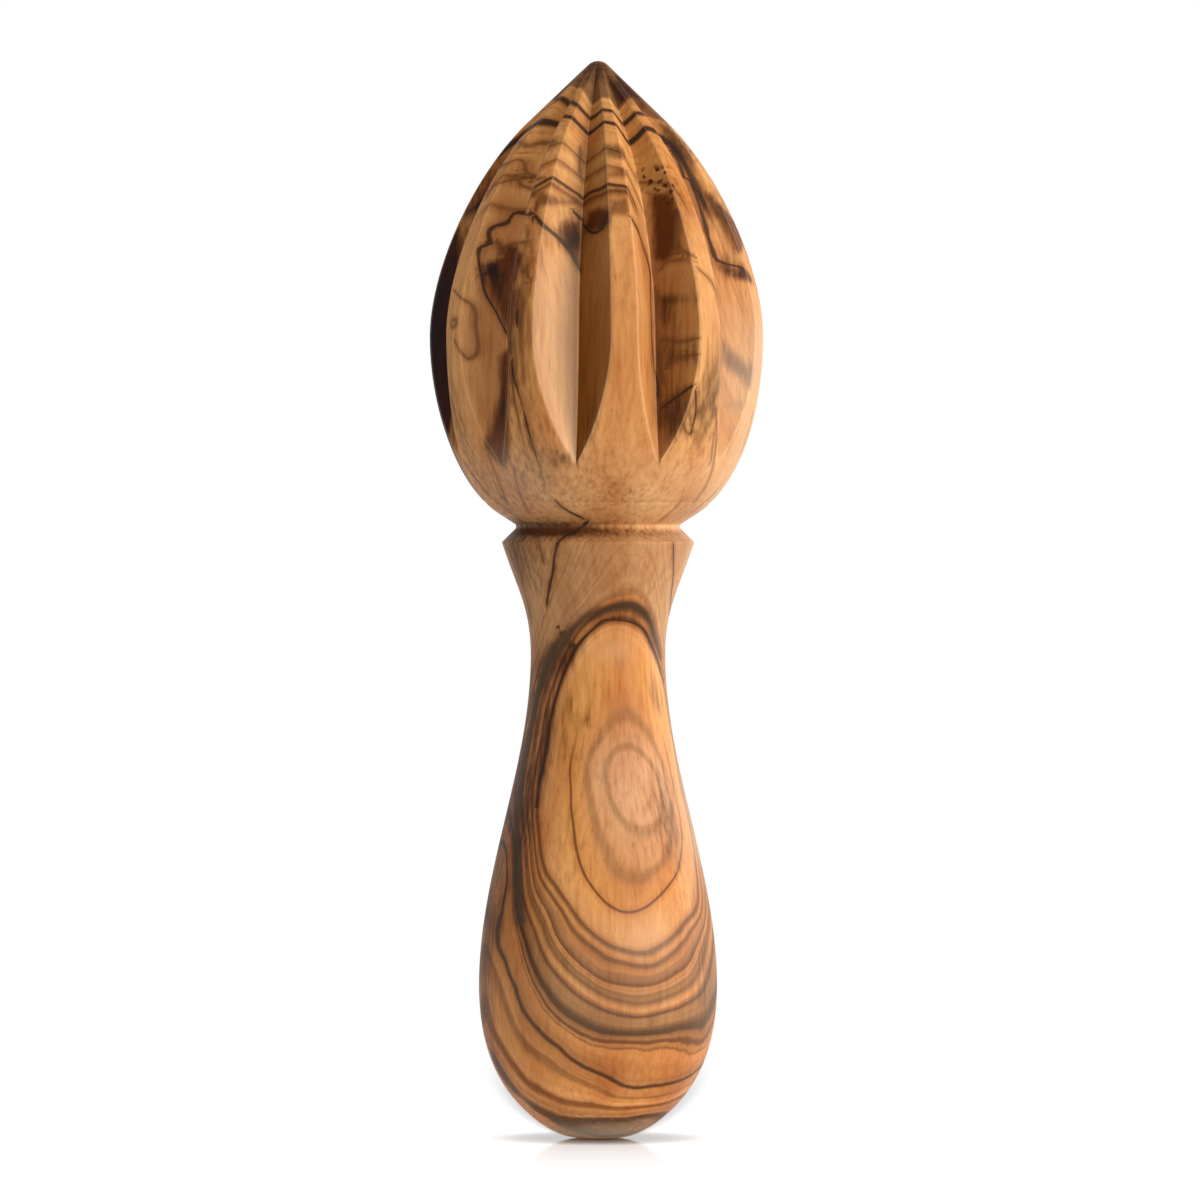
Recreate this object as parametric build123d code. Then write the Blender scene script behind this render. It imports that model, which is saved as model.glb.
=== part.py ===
from build123d import *
import os
from math import cos, radians, sin, tan

# A hand citrus reamer, turned from one billet of olive wood, with its flutes carved afterwards.
# Lengths are in millimetres. The foot stands on z = 0, the lathe's axis is Z and the front is -Y.

# Handle and collar: each rise is measured from the section below it
foot_radius = 5.0
butt_radius = 13.0
butt_rise = 6.4
bulb_radius = 17.7
bulb_rise = 16.2
grip_radius = 13.9
grip_rise = 24.5
waist_radius = 10.0
waist_rise = 24.8
rim_radius = 14.3
collar_rise = 16.6

# Groove between the collar and the head
groove_radius = 12.2
groove_floor_width = 0.5
groove_flare_rise = 1.3
seat_radius = 14.2

# Reaming head
head_radius = 25.0
underside_rise = 26.6
crown_rise = 41.0
cone_radius = 10.8
tip_radius = 3.2

# How far each cut runs past the wood
cut_overrun = 2.0

# Slopes of the turned outline, in degrees
foot_slope = 30.0
butt_slope = 52.0
grip_slope = 13.4
collar_slope = 18.0
underside_slope = 30.0
cone_half_angle = 45.0

# Flutes, in degrees round the axis: equal steps, and one last flute that takes up what is left
flute_count = 11
land_angle = 9.0
closing_flute_excess = 3.6
closing_flute_azimuth = -98.9
flute_wall_angle = 45.0
run_out_slope = 9.0

# Where a flute has run out below the widest part of the head
run_out_drop_share = 0.83
run_out_radius_share = 0.85

# Reach of each curve's lower and upper handle, as shares of the rise that the curve spans
foot_handle_shares = (0.40, 0.66)
butt_handle_shares = (0.26, 0.48)
bulb_handle_shares = (0.34, 0.34)
grip_handle_shares = (0.33, 0.35)
collar_handle_shares = (0.41, 0.42)
underside_handle_shares = (0.30, 0.38)
crown_handle_shares = (0.29, 0.38)
run_out_handle_shares = (0.33, 0.33)

# Heights of the turned sections above the foot
butt_height = butt_rise
bulb_height = butt_height + bulb_rise
grip_height = bulb_height + grip_rise
waist_height = grip_height + waist_rise
rim_height = waist_height + collar_rise
groove_height = rim_height + rim_radius - groove_radius
flare_height = groove_height + groove_floor_width
seat_height = flare_height + groove_flare_rise
belly_height = seat_height + underside_rise
total_height = belly_height + crown_rise
cone_apex_height = total_height - tip_radius + tip_radius / sin(radians(cone_half_angle))


def step_from(point, length, slope):
    """The point that lies a length away from another, at a slope from the horizontal."""
    return (point[0] + length * cos(radians(slope)), point[1] + length * sin(radians(slope)))


def curve_between(low, low_slope, high, high_slope, handle_shares):
    """One smooth curve of the outline between two points, with its slope given at both."""
    rise = high[1] - low[1]
    low_handle = step_from(low, handle_shares[0] * rise, low_slope)
    high_handle = step_from(high, -handle_shares[1] * rise, high_slope)
    return Bezier(low, low_handle, high_handle, high)


def handle_outline():
    """The handle from its small flat foot over the butt, bulb, grip and waist to the collar's rim."""
    foot = (foot_radius, 0)
    butt = (butt_radius, butt_height)
    bulb = (bulb_radius, bulb_height)
    grip = (grip_radius, grip_height)
    waist = (waist_radius, waist_height)
    rim = (rim_radius, rim_height)
    return [
        Line((0, 0), foot),
        curve_between(foot, foot_slope, butt, butt_slope, foot_handle_shares),
        curve_between(butt, butt_slope, bulb, 90, butt_handle_shares),
        curve_between(bulb, 90, grip, 90 + grip_slope, bulb_handle_shares),
        curve_between(grip, 90 + grip_slope, waist, 90, grip_handle_shares),
        curve_between(waist, 90, rim, 90 - collar_slope, collar_handle_shares),
    ]


def groove_outline():
    """The groove over the collar: a chamfer from the rim, a narrow floor and a flare to the head."""
    rim = (rim_radius, rim_height)
    floor_low = (groove_radius, groove_height)
    floor_high = (groove_radius, flare_height)
    seat = (seat_radius, seat_height)
    return [Line(rim, floor_low), Line(floor_low, floor_high), Line(floor_high, seat)]


def cone_foot():
    """Where the crown's curve goes over into the straight cone."""
    return (cone_radius, cone_apex_height - cone_radius / tan(radians(cone_half_angle)))


def crown_curve(radial_share):
    """The crown from the widest part of the head to the cone, drawn in towards the axis by a share."""
    belly = (radial_share * head_radius, belly_height)
    shoulder = (radial_share * cone_radius, cone_foot()[1])
    rise = cone_foot()[1] - belly_height
    low_handle = step_from(belly, crown_handle_shares[0] * rise, 90)
    reach = crown_handle_shares[1] * rise
    full_handle = step_from(cone_foot(), -reach, 90 + cone_half_angle)
    high_handle = (radial_share * full_handle[0], full_handle[1])
    return Bezier(belly, low_handle, high_handle, shoulder)


def head_outline():
    """The head from the groove over its widest part and the cone to the rounded tip."""
    seat = (seat_radius, seat_height)
    belly = (head_radius, belly_height)
    tip_centre = (0, total_height - tip_radius)
    tip_start = step_from(tip_centre, tip_radius, cone_half_angle)
    return [
        curve_between(seat, underside_slope, belly, 90, underside_handle_shares),
        crown_curve(1),
        Line(cone_foot(), tip_start),
        CenterArc(tip_centre, tip_radius, cone_half_angle, 90 - cone_half_angle),
        Line((0, total_height), (0, 0)),
    ]


def turned_blank():
    """The reamer as it leaves the lathe, before its flutes are carved."""
    outline = Wire(handle_outline() + groove_outline() + head_outline())
    return revolve(Plane.XZ * make_face(outline), Axis.Z)


def flute_side_face(valley_share):
    """The region outside a flute's valley line, on the plane through the axis along the flute."""
    apex = (0, cone_apex_height)
    valley_belly = (valley_share * head_radius, belly_height)
    run_out = (run_out_radius_share * head_radius, belly_height - run_out_drop_share * underside_rise)
    outside = head_radius + cut_overrun
    low_corner = (outside, run_out[1])
    high_corner = (outside, cone_apex_height)
    outline = Wire([
        Line(apex, (valley_share * cone_radius, cone_foot()[1])),
        crown_curve(valley_share),
        curve_between(run_out, 90 + run_out_slope, valley_belly, 90, run_out_handle_shares),
        Line(run_out, low_corner),
        Line(low_corner, high_corner),
        Line(high_corner, apex),
    ])
    return (Plane.XZ * make_face(outline)).face()


def flute_cutter(width_angle):
    """A V-shaped bar whose walls lean back from the valley line, as wide as the angle on the head."""
    half_width = radians(width_angle / 2)
    wall_lean = tan(radians(flute_wall_angle))
    side = flute_side_face(cos(half_width) - sin(half_width) / wall_lean)
    spread = head_radius * sin(half_width) + cut_overrun
    left_wall = Solid.extrude(side, Vector(spread / wall_lean, spread, 0))
    right_wall = Solid.extrude(side, Vector(spread / wall_lean, -spread, 0))
    return left_wall.fuse(right_wall)


def flute_cutters():
    """All the flutes' cutters in place: the wide closing one, and the rest an equal step apart."""
    step = (360 - closing_flute_excess) / flute_count
    closing_step = step + closing_flute_excess
    cutters = [Rot(0, 0, closing_flute_azimuth) * flute_cutter(closing_step - land_angle)]
    plain_cutter = flute_cutter(step - land_angle)
    first_azimuth = closing_flute_azimuth + (closing_step + step) / 2
    for index in range(flute_count - 1):
        cutters.append(Rot(0, 0, first_azimuth + index * step) * plain_cutter)
    return cutters


def reamer():
    """The finished reamer: one solid of wood, from the foot to the tip."""
    return turned_blank().cut(*flute_cutters())


os.makedirs("parts", exist_ok=True)
export_step(reamer(), "parts/reamer.step")
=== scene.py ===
from math import cos, pi, radians, sin

import bpy
import numpy as np
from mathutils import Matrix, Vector


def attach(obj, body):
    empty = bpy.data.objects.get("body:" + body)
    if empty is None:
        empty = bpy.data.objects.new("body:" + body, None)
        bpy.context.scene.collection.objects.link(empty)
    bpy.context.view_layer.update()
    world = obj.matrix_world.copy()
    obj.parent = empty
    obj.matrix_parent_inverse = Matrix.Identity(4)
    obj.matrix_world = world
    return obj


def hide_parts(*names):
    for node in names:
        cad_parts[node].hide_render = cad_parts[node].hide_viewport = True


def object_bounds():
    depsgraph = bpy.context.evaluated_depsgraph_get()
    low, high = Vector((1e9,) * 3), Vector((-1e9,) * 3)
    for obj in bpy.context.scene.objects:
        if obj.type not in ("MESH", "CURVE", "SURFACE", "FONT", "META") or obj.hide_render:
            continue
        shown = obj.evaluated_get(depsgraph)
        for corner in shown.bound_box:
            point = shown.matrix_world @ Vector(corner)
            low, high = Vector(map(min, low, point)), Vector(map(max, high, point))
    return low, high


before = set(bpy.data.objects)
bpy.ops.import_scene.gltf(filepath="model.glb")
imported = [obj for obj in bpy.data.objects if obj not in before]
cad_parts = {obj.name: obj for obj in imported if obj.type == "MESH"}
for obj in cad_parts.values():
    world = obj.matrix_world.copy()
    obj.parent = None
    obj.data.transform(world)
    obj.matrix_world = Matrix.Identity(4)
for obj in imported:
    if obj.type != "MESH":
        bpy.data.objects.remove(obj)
cad_low, cad_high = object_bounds()

# The photographer's place: 1.36 m in front of the reamer and level with its neck, behind a long
# lens. The picture takes in 178 mm where the reamer stands.
camera_place = Vector((0.0003, -1.360, 0.0918))
camera_target = Vector((0.0003, 0.0, 0.0799))
picture_width = 0.1784
film_width = 36.0

camera_data = bpy.data.cameras.new("camera")
camera_data.sensor_width = film_width
camera_data.lens = film_width * (camera_target - camera_place).length / picture_width
camera_data.clip_start = 0.05
camera_data.clip_end = 20.0
camera = bpy.data.objects.new("camera", camera_data)
camera.location = camera_place
camera.rotation_euler = (camera_target - camera_place).to_track_quat("-Z", "Y").to_euler()
bpy.context.scene.collection.objects.link(camera)
bpy.context.scene.camera = camera


# The reamer itself is one billet of olive wood. It is turned on a lathe from the foot to the tip,
# then eleven V-shaped flutes are carved into the head, and all of it is sanded and oiled.
millimetre = 0.001

head_radius = 25.0
belly_height = 119.0
cone_radius = 10.8
cone_half_angle = 45.0
tip_radius = 3.2
worn_tip_radius = 2.1
worn_tip_start = 44.0
total_height = cad_high.z / millimetre
cone_apex = total_height - tip_radius + tip_radius / sin(radians(cone_half_angle))
cone_height = cone_apex - cone_radius

# The turned sections, each a radius and a height in mm
foot = (3.0, 0.0)
butt = (13.0, 6.4)
bulb = (17.7, 22.6)
grip = (13.9, 47.1)
waist = (10.0, 71.9)
rim = (14.3, 88.5)
groove_low = (12.2, 90.6)
groove_high = (12.2, 91.1)
seat = (14.2, 92.4)
belly = (head_radius, belly_height)
run_out = (21.25, 96.9)

# The curves between them: a section and its slope in degrees from the horizontal, the next section
# and its slope, and how far the handles at both reach, as shares of the curve's rise
vertical = 90.0
turned_curves = [
    (foot, 0, butt, 52.0, 0.55, 0.66),
    (butt, 52.0, bulb, vertical, 0.26, 0.48),
    (bulb, vertical, grip, 103.4, 0.34, 0.34),
    (grip, 103.4, waist, vertical, 0.33, 0.35),
    (waist, vertical, rim, 72.0, 0.41, 0.42),
]
underside_curve = (seat, 30.0, belly, vertical, 0.30, 0.38)
crown_shares = (0.29, 0.38)
run_out_slope = 99.0
run_out_share = 0.33

# The line scribed over the groove, the flutes, and how far sanding rounds the edges
scribed_height = 94.4
scribed_depth = 0.10
scribed_width = 0.16
flute_count = 11
flute_step = 32.4
wide_flute_step = 36.0
wide_flute_azimuth = -8.9
flute_wall_angle = 45.0
land_angle = 9.0
arris_rounding = 0.38
valley_rounding = 0.12
sanding_reach = 0.14


def step_from(point, length, slope):
    """The point a length away from another, at a slope from the horizontal in degrees."""
    return point[0] + length * cos(radians(slope)), point[1] + length * sin(radians(slope))


def bezier(low, handle_low, handle_high, high):
    """A cubic Bezier curve: (1-t)^3 P0 + 3(1-t)^2 t P1 + 3(1-t) t^2 P2 + t^3 P3, finely sampled."""
    t = np.linspace(0, 1, 400)[:, None]
    ends = (1 - t) ** 3 * np.array(low) + t**3 * np.array(high)
    near_low = 3 * (1 - t) ** 2 * t * np.array(handle_low)
    near_high = 3 * (1 - t) * t**2 * np.array(handle_high)
    return ends + near_low + near_high


def bent_line(low, low_slope, high, high_slope, low_share, high_share):
    """A Bezier curve with given slopes at its ends, and handles that are shares of its rise."""
    rise = high[1] - low[1]
    handle_low = step_from(low, low_share * rise, low_slope)
    handle_high = step_from(high, -high_share * rise, high_slope)
    return bezier(low, handle_low, handle_high, high)


def crown_line(share):
    """The crown's curve from the belly to the cone, with its radii drawn in by a share."""
    rise = cone_height - belly_height
    low = (share * head_radius, belly_height)
    handle_low = (low[0], low[1] + crown_shares[0] * rise)
    cone_slope = vertical + cone_half_angle
    full_handle = step_from((cone_radius, cone_height), -crown_shares[1] * rise, cone_slope)
    handle_high = (share * full_handle[0], full_handle[1])
    return bezier(low, handle_low, handle_high, (share * cone_radius, cone_height))


def turned_outline():
    """Radius and height of the turned form, from the middle of the foot to the tip."""
    tip_turn = np.linspace(radians(worn_tip_start), radians(vertical), 60)
    tip_arc = np.stack([
        worn_tip_radius * np.cos(tip_turn),
        total_height - worn_tip_radius + worn_tip_radius * np.sin(tip_turn),
    ], axis=1)
    return np.concatenate([
        [(0, 0)],
        *(bent_line(*curve) for curve in turned_curves),
        [groove_low, groove_high],
        bent_line(*underside_curve),
        crown_line(1),
        tip_arc,
    ])


def sanded(outline):
    """The outline with its corners softened by a running average, and the scribed line cut in.

    The scribed line takes depth times exp(-(distance / width)^2) off the radius.
    """
    pieces = np.linalg.norm(np.diff(outline, axis=0), axis=1)
    along = np.concatenate([[0], np.cumsum(pieces)])
    fine_step = 0.02
    fine = np.arange(0, along[-1], fine_step)
    line = np.stack([np.interp(fine, along, outline[:, 0]), np.interp(fine, along, outline[:, 1])], 1)
    reach = int(sanding_reach / fine_step)
    window = np.hanning(2 * reach + 3)[1:-1]
    window /= window.sum()
    soft = line.copy()
    for column in (0, 1):
        soft[reach:-reach, column] = np.convolve(line[:, column], window, mode="valid")
    soft[:, 0] -= scribed_depth * np.exp(-((soft[:, 1] - scribed_height) / scribed_width) ** 2)
    return soft


def read_off(places, pairs):
    """Values read off the straight runs between (place, value) pairs."""
    known_places, known_values = zip(*pairs)
    return np.interp(places, known_places, known_values)


# Distance between the rows of the mesh at heights along the outline, in mm
row_spacing = [
    (0, 0.5), (2, 0.92), (70, 1.05), (84, 0.8), (87.4, 0.3), (88, 0.20),
    (94.9, 0.20), (95.4, 0.42), (116, 0.56), (122, 0.68), (157, 0.64), (159.6, 0.26),
]


def stations(line):
    """Rows of the mesh along the outline, closer together where the form turns quickly."""
    spacing = read_off(line[:, 1], row_spacing)
    pieces = np.linalg.norm(np.diff(line, axis=0), axis=1)
    count = np.concatenate([[0], np.cumsum(pieces / spacing[1:])])
    whole = np.arange(1, int(count[-1]) + 1)
    return np.stack([np.interp(whole, count, line[:, 0]), np.interp(whole, count, line[:, 1])], axis=1)


far_out = 99.0


def valley_radius(width, height):
    """Distance of a flute's valley line from the axis at each height; far out below its run-out."""
    half = radians(width / 2)
    share = cos(half) - sin(half)
    high = (share * head_radius, belly_height)
    low = bent_line(run_out, run_out_slope, high, vertical, run_out_share, run_out_share)
    line = np.concatenate([low, crown_line(share), [(0.0, cone_apex)]])
    return np.interp(height, line[:, 1], line[:, 0], left=far_out)


def softer_minimum(first, second, reach):
    """The smaller of two values, rounded where they cross, within the reach."""
    mix = np.clip(0.5 + 0.5 * (second - first) / reach, 0, 1)
    return second + (first - second) * mix - reach * mix * (1 - mix)


# Places of the mesh's columns across a flute's wall and across a land. Each flute starts with the
# column of its valley, and goes over a wall and a land to the wall of the next flute.
wall_shares = np.array([0.035, 0.12, 0.24, 0.38, 0.52, 0.66, 0.78, 0.87, 0.93, 0.97, 1.0])
land_shares = np.array([0.04, 0.11, 0.26, 0.5, 0.74, 0.89, 0.96])
columns_per_flute = 1 + 2 * len(wall_shares) + len(land_shares)
spread_height = 84.0
least_half_width = 1.0

flute_azimuths = [wide_flute_azimuth]
flute_widths = [wide_flute_step - land_angle]
for index in range(flute_count - 1):
    flute_azimuths.append(wide_flute_azimuth + (wide_flute_step + flute_step) / 2 + index * flute_step)
    flute_widths.append(flute_step - land_angle)


def half_width_at(width, height, radius):
    """Angle from a valley to its arris, in degrees: acos(valley / (radius root 2)) - 45.

    Below the run-out, where there is no arris, the columns spread out again to the full width.
    """
    share = np.clip(valley_radius(width, height) / (radius * np.sqrt(2)), -1, 1)
    edge = np.degrees(np.arccos(share)) - flute_wall_angle
    full = width / 2
    below = read_off(height, [(spread_height, full), (run_out[1], least_half_width)])
    return np.where(height > run_out[1], np.clip(edge, least_half_width, full), below)


def body_grid(rows):
    """Azimuth and radius of every vertex: rows up the outline, columns round it.

    The columns follow the valleys and the arrises. The radius is the smaller of the turned radius
    and the flute walls' valley / (cos a - sin a), where a is the angle from the valley.
    """
    radius, height = rows[:, 0], rows[:, 1]
    azimuth_columns = []
    radius_columns = []
    for index in range(flute_count):
        other = (index + 1) % flute_count
        turn = 360 if other == 0 else 0
        valley, next_valley = flute_azimuths[index], flute_azimuths[other] + turn
        half = half_width_at(flute_widths[index], height, radius)
        next_half = half_width_at(flute_widths[other], height, radius)
        low_edge, high_edge = valley + half, next_valley - next_half
        places = [valley + 0 * half]
        places += [valley + share * half for share in wall_shares]
        places += [low_edge + share * (high_edge - low_edge) for share in land_shares]
        places += [next_valley - share * next_half for share in wall_shares[::-1]]
        for place in places:
            near_first = (place - valley) < (next_valley - place)
            angle = np.radians(np.where(near_first, place - valley, next_valley - place))
            depth = np.where(
                near_first,
                valley_radius(flute_widths[index], height),
                valley_radius(flute_widths[other], height),
            )
            soft_angle = np.sqrt(angle**2 + (valley_rounding / np.maximum(radius, 1)) ** 2)
            wall = depth / (np.cos(angle) - np.sin(soft_angle))
            azimuth_columns.append(place)
            radius_columns.append(softer_minimum(radius, wall, arris_rounding))
    return np.radians(np.stack(azimuth_columns, 1)), np.stack(radius_columns, 1)


def grid_mesh(name, points):
    """A closed mesh from rows of rings, with a single vertex at the foot and one at the tip."""
    row_count, column_count = points.shape[:2]
    foot_centre = np.array([[0.0, 0.0, points[0, :, 2].min()]])
    tip_centre = np.array([[0.0, 0.0, total_height]])
    vertices = np.concatenate([points.reshape(-1, 3), foot_centre, tip_centre]) * millimetre
    ring = np.arange(column_count)
    after = (ring + 1) % column_count
    low = np.arange(row_count - 1)[:, None] * column_count
    high = low + column_count
    quads = np.stack([low + ring, low + after, high + after, high + ring], -1).reshape(-1, 4)
    last = (row_count - 1) * column_count
    foot_index = row_count * column_count
    foot_fan = np.stack([after, ring, np.full(column_count, foot_index)], 1)
    tip_fan = np.stack([last + ring, last + after, np.full(column_count, foot_index + 1)], 1)
    faces = quads.tolist() + foot_fan.tolist() + tip_fan.tolist()
    mesh = bpy.data.meshes.new(name)
    mesh.from_pydata(vertices.tolist(), [], faces, shade_flat=False)
    return mesh, vertices / millimetre


rows = stations(sanded(turned_outline()))
azimuth, radius = body_grid(rows)
height = np.repeat(rows[:, 1][:, None], azimuth.shape[1], axis=1)
surface = np.stack([radius * np.sin(azimuth), -radius * np.cos(azimuth), height], axis=-1)
body_mesh, body_points = grid_mesh("reamer_body", surface)
body = bpy.data.objects.new("reamer_body", body_mesh)
bpy.context.scene.collection.objects.link(body)

# The figure of the wood, first as growth layers: slanted ovals round the pith, which each cut of
# the lathe and the knife opens to view, bent through the listed places.
own_azimuth = np.degrees(np.arctan2(body_points[:, 0], -body_points[:, 1]))
own_radius = np.hypot(body_points[:, 0], body_points[:, 1])
own_height = body_points[:, 2]

handle_pith = (4.87, -12.0, 51.86)
handle_slants = ((1.293, 0.233, -0.128), (0, 0.787, 0.549))
head_pith = (2.2, -22.1, 114.4)
head_slants = ((0.52, 0.66, 0.25), (0, 0.86, 0.03))
bend_reach = 12.0
bend_slack = 0.02


def ovals(points, pith, slants):
    """Depth of a growth layer: the way from the pith times each of two slants, added as squares."""
    away = points - np.array(pith)
    return np.hypot(away @ np.array(slants[0]), away @ np.array(slants[1]))


def influence(distance):
    """A smooth falling influence: (1 + t) exp(-t), where t is distance over reach times root 3."""
    t = np.sqrt(3) * distance / bend_reach
    return (1 + t) * np.exp(-t)


def surface_place(azimuth_degrees, height_mm):
    """The point of the finished surface at an azimuth from the front and a height."""
    turn = radians(azimuth_degrees)
    row = np.argmin(np.abs(rows[:, 1] - height_mm))
    column_turn = (azimuth[row] - turn + pi) % (2 * pi) - pi
    column = np.argmin(np.abs(column_turn))
    return (radius[row, column] * sin(turn), -radius[row, column] * cos(turn), height_mm)


def bent_layers(pith, slants, marks):
    """The growth layers round a pith, bent smoothly so that each mark lies at its own depth."""
    places = []
    depths = []
    for depth, spots in marks:
        for azimuth_degrees, height_mm in spots:
            places.append(surface_place(azimuth_degrees, height_mm))
            depths.append(depth)
    places = np.array(places)
    missing = np.array(depths) - ovals(places, pith, slants)
    between = np.linalg.norm(places[:, None] - places[None], axis=2)
    weights = np.linalg.solve(influence(between) + bend_slack * np.eye(len(places)), missing)
    bend = np.zeros(len(body_points))
    for place, weight in zip(places, weights):
        bend += weight * influence(np.linalg.norm(body_points - place, axis=1))
    return ovals(body_points, pith, slants) + bend


def keep_on_points(name, values):
    """Stores a number or three per vertex under a name that the material reads."""
    kind, field = ("FLOAT", "value") if values.ndim == 1 else ("FLOAT_VECTOR", "vector")
    attribute = body_mesh.attributes.new(name, kind, "POINT")
    attribute.data.foreach_set(field, values.astype(np.float32).reshape(-1))


# Each layer's depth in mm, and the azimuths from the front and heights where it shows
arch_places = [
    (-29, 69.5), (-22, 72), (-14, 74), (-5, 75.5), (5, 77), (19, 77), (32, 76.5), (42, 75.5),
    (51, 73.5), (62, 71), (73, 68),
]
over_arch = [(5, 78.5), (16, 79), (29, 79), (40, 78), (49, 76.5), (56, 74.5), (66, 72)]
handle_marks = [
    (5.0, [(17, 58.5), (8, 57), (5, 55), (8, 52), (15, 48), (27, 46.5), (41, 47.5), (47, 50), (48, 52),
        (41, 56), (29, 57.5)]),
    (8.7, [(9, 62), (2, 59.5), (-7, 56.5), (-9, 53.5), (-7, 50), (-2, 46.5), (4, 43), (11, 40),
        (18, 39), (26, 38.5), (43, 41.5)]),
    (12.2, [(-16, 61), (-18, 58), (-16, 52), (-14, 47), (-11, 42.5), (-8, 39.5), (-2, 37.5), (4, 35.5),
        (10, 34.5), (16, 34), (22, 34.5), (29, 35.5), (35, 37), (44, 39), (53, 42), (61, 46), (60, 52)]),
    (16.8, arch_places + [(-36, 66.5), (-41, 63), (-42, 58), (-44, 54), (-43, 50), (-41, 47),
        (-36, 43.5), (-27, 39), (-19, 36.5), (-12, 34), (-6, 32), (0, 30.5), (6, 29), (13, 28.5),
        (22, 28), (30, 29), (38, 30), (45, 31), (54, 33), (64, 35)]),
    (17.9, [(0, 78)] + over_arch + [(75, 69), (-38, 43), (-24, 37.5), (-15, 34), (-8, 31), (0, 29),
        (7, 27.5), (15, 27), (22, 26), (29, 26), (36, 27), (45, 29.5), (53, 32), (71, 37)]),
    (19.0, [(-21, 31), (-14, 28), (-8, 26), (0, 24.5), (9, 24), (19, 24), (29, 24.5), (37, 25.5),
        (50, 27), (59, 30), (69, 32.5)]),
    (20.3, [(-47, 44.5), (-42, 40), (-39, 37), (-32, 34), (-26, 31), (-20, 28), (-13, 26), (-5, 24),
        (3, 22.5), (9, 21.5), (20, 21), (29, 21.5), (41, 22.5), (50, 24), (60, 27), (70, 31)]),
    (23.8, [(-59, 44.5), (-49, 38.5), (-43, 33), (-37, 29.5), (-31, 25), (-26, 22.5), (-20, 20.5),
        (-12, 19), (-5, 17.5), (0, 16.5), (8, 16), (15, 16), (26, 16.5), (37, 17), (47, 17.5), (65, 18)]),
    (24.3, [(-21, 18.5), (-11, 17), (0, 15.5), (8, 15), (26, 14.5), (44, 15), (57, 15.5), (72, 16.5)]),
    (25.5, [(-74, 32.5), (-60, 29), (-50, 25.5), (-44, 22.5), (-39, 19.5), (-33, 17.5), (-26, 15.5),
        (-19, 14), (-12, 12), (-5, 10.5), (2, 10), (9, 9), (15, 8), (32, 8), (44, 8), (56, 9), (71, 10),
        (82, 10.5)]),
    (26.6, [(-76, 29), (-65, 27), (-56, 24), (-50, 20.5), (-45, 17.5), (-37, 14), (-29, 12), (-20, 11),
        (-9, 9.5), (0, 8.5)]),
    (27.8, [(-77, 19.5), (-65, 15), (-55, 11.5), (-47, 9), (-35, 7), (-22, 6), (-6, 5.5), (11, 5),
        (31, 5), (50, 5), (67, 6), (84, 7)]),
    (29.2, [(-72, 13), (-67, 9.5), (-59, 7.5), (-51, 5.5), (-37, 4), (-17, 3.5), (0, 3.5), (17, 3),
        (33, 3.5), (45, 4), (65, 4)]),
]
head_marks = [
    (9.5, [(-27, 140), (-9, 138), (4, 139.5), (12, 140)]),
    (10.1, [(-22, 142), (-7, 139.5), (4, 141)]),
    (12.2, [(-22, 144.5), (-7, 142), (4, 143.5)]),
    (14.8, [(-26, 147), (-20, 147), (-7, 144.5), (1, 146), (6, 146.5)]),
    (20.0, [(-57, 150), (-43, 150.5), (-28, 151.5), (-7, 149), (7, 150.5), (27, 147.5), (42, 150)]),
    (23.2, [(-55, 154), (-44, 154), (-27, 153), (-8, 151), (7, 152.5), (26, 150), (46, 151.5)]),
    (25.0, [(-22, 155), (-5, 154), (11, 155), (29, 153), (63, 154.5)]),
]
keep_on_points("handle_layers", bent_layers(handle_pith, handle_slants, handle_marks))
keep_on_points("head_layers", bent_layers(head_pith, head_slants, head_marks))


def smooth_route(corners):
    """A Catmull-Rom curve through the corners: six short steps from each corner to the next."""
    corners = np.array(corners, dtype=float)
    first, last = 2 * corners[:1] - corners[1:2], 2 * corners[-1:] - corners[-2:-1]
    ends = np.concatenate([first, corners, last])
    before, start, end, after = (ends[i:len(ends) - 3 + i][:, None] for i in range(4))
    t = np.linspace(0, 1, 7)[:-1][None, :, None]
    bow = 2 * before - 5 * start + 4 * end - after + t * (3 * (start - end) + after - before)
    route = start + 0.5 * t * (end - before + t * bow)
    return np.concatenate([route.reshape(-1, 2), corners[-1:]])


nothing_near = 9.0
usual_half_width = 0.3
facing_reach = 120.0
level_reach = 5.0


def short_way(degrees):
    """A turn in degrees, taken the short way round."""
    return (degrees + 180) % 360 - 180


def unrolled(route):
    """A route as seen from each vertex near it, on the surface unrolled at that vertex.

    A turn aside is the azimuth times the vertex's own radius, in mm. It gives the vertices, the
    route's turns and rises from them, the distance to each short step, and the nearest step.
    """
    middle_azimuth, middle_height = route.mean(axis=0)
    facing = np.abs(short_way(own_azimuth - middle_azimuth)) < facing_reach
    level = np.abs(own_height - middle_height) < np.ptp(route[:, 1]) / 2 + level_reach
    near = np.nonzero(facing & level)[0]
    aside = np.radians(short_way(route[:, 0] - own_azimuth[near, None])) * own_radius[near, None]
    above = route[:, 1] - own_height[near, None]
    step_aside, step_above = np.diff(aside), np.diff(above)
    length = np.maximum(step_aside**2 + step_above**2, 1e-9)
    share = np.clip(-(aside[:, :-1] * step_aside + above[:, :-1] * step_above) / length, 0, 1)
    gap = np.hypot(aside[:, :-1] + share * step_aside, above[:, :-1] + share * step_above)
    return near, aside, above, gap, np.argmin(gap, axis=1)


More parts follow.
